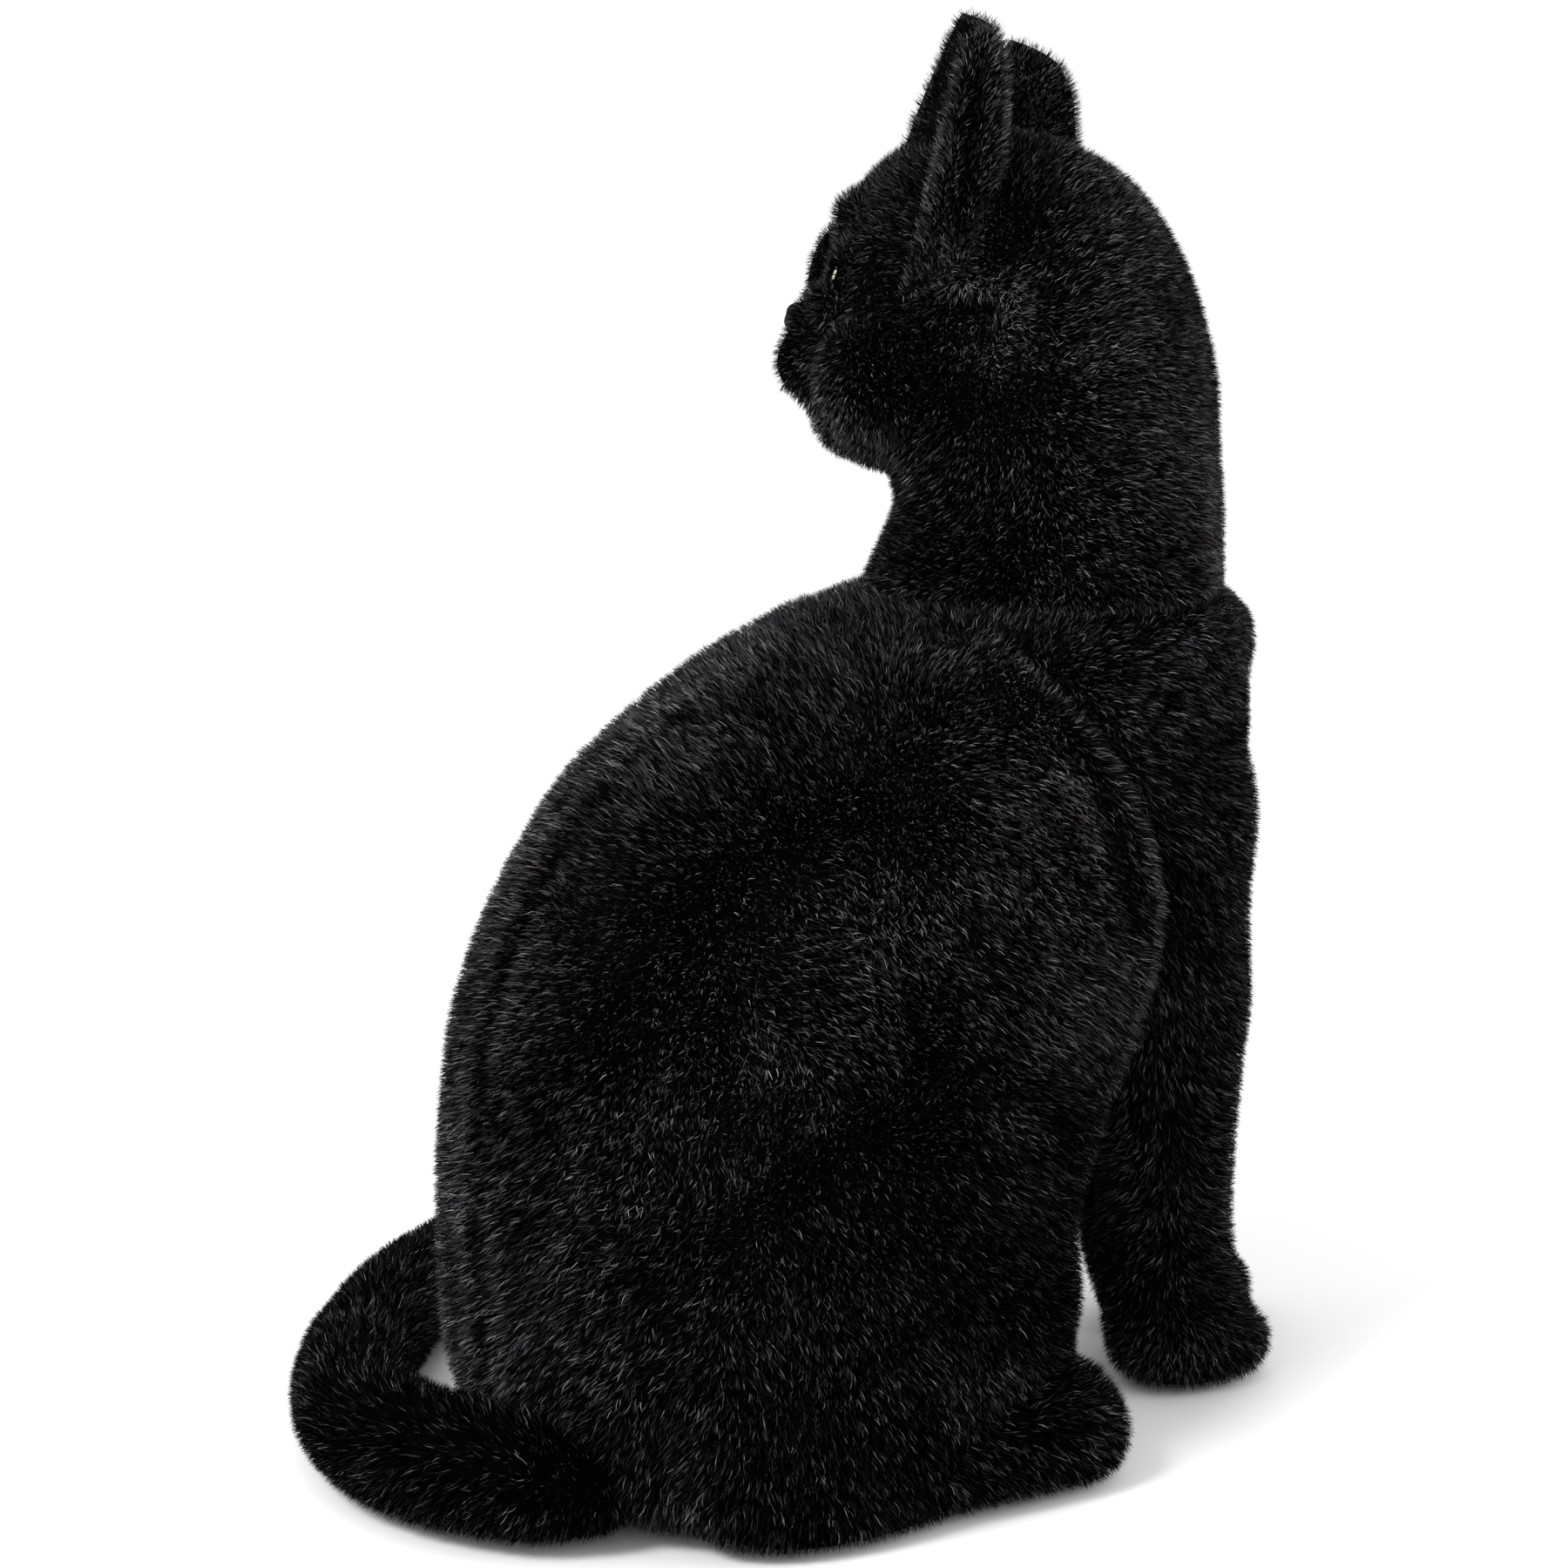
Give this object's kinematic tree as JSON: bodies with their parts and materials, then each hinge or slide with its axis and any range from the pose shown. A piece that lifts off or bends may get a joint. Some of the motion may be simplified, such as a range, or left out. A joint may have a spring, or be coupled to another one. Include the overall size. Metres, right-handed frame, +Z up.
{
  "type": "plush cat",
  "caption": "Life-like sitting plush cat in short black pile, with a swivel disc-jointed head looking over its shoulder, a curled tail and soft upright ears.",
  "frame": {"origin": "middle of the flat seat panel, on its underside", "axes": "+Z up, -Y the way the chest faces, +X the cat's left"},
  "size_m": [0.2526, 0.3127, 0.4005],
  "materials": {
    "black_pile": "short dense polyester pile, crushed in places",
    "sole_fabric": "flat woven base cloth",
    "ear_plush": "short velour",
    "polyester_filling": "loose fibre",
    "calico": "plain cotton bag",
    "hardboard": "pressed board",
    "zinc_steel": "zinc plated",
    "nose_vinyl": "satin moulded nose",
    "eye_acrylic": "polished domed eye",
    "washer_nylon": "moulded washer"
  },
  "bodies": {
    "torso": {"seat_panel": "sole_fabric", "back_panel_left": "black_pile", "back_panel_right": "black_pile", "chest_panel": "black_pile", "body_stuffing": "polyester_filling", "pellet_bag": "calico", "haunch_left": "black_pile", "haunch_right": "black_pile", "haunch_stuffing_left": "polyester_filling", "haunch_stuffing_right": "polyester_filling", "hind_foot_left": "black_pile", "hind_foot_right": "black_pile", "foreleg_left": "black_pile", "foreleg_right": "black_pile", "foreleg_stuffing_left": "polyester_filling", "foreleg_stuffing_right": "polyester_filling", "body_disc": "hardboard"},
    "head": {"head_disc": "hardboard", "joint_bolt": "zinc_steel", "joint_washer": "zinc_steel", "joint_nut": "zinc_steel", "head_panel_left": "black_pile", "head_panel_right": "black_pile", "head_stuffing": "polyester_filling", "muzzle": "black_pile", "nose": "nose_vinyl", "eye_left": "eye_acrylic", "eye_right": "eye_acrylic", "eye_washer_left": "washer_nylon", "eye_washer_right": "washer_nylon", "ear_back_left": "black_pile", "ear_lining_left": "ear_plush", "ear_back_right": "black_pile", "ear_lining_right": "ear_plush"},
    "tail": {"tail_skin": "black_pile", "tail_stuffing": "polyester_filling"}
  },
  "joints": [
    {"name": "head_turn", "type": "hinge", "parent": "torso", "child": "head", "pos_m": [0, -0.103, 0.24], "axis": [0, 0, 1], "continuous": true},
    {"name": "tail_swing", "type": "hinge", "parent": "torso", "child": "tail", "pos_m": [-0.022, 0.069, 0.021], "axis": [0, 0, 1], "range_deg": [0, 30]}
  ]
}
